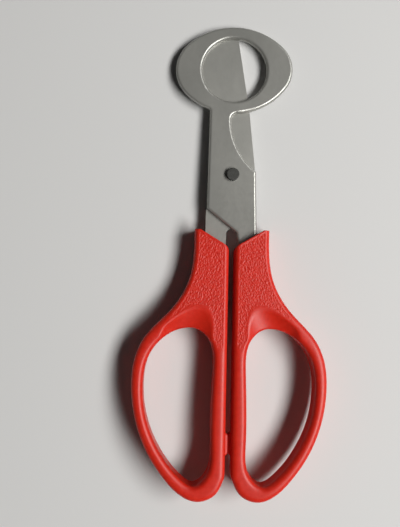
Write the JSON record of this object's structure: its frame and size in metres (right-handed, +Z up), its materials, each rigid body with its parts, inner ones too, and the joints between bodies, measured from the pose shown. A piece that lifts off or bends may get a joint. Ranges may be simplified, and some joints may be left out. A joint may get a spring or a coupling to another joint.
{
  "type": "quail egg scissors",
  "caption": "Small scissors whose front plate ends in an egg-shaped ring and whose rear blade shears the cap off a quail egg held in it; red moulded bow handles.",
  "frame": {"origin": "middle of the underside of the closed tool, lying on its side", "axes": "+Z up out of the surface it lies on, +Y along the tool towards the ring, +X to the right seen from above"},
  "size_m": [0.059, 0.1454, 0.0085],
  "materials": {
    "stainless_plate": "tumbled and satin-ground stainless steel",
    "rivet_steel": "dull dark steel",
    "red_plastic": "glossy moulded plastic, fine leather grain on the shanks"
  },
  "bodies": {
    "ring_half": {"ring_blade": "stainless_plate", "right_handle": "red_plastic", "pivot_rivet": "rivet_steel"},
    "cutter_half": {"cutting_blade": "stainless_plate", "left_handle": "red_plastic"}
  },
  "joints": [
    {"name": "pivot", "type": "hinge", "parent": "ring_half", "child": "cutter_half", "pos_m": [0, 0.0261, 0.00425], "axis": [0, 0, -1], "range_deg": [0, 60]}
  ]
}
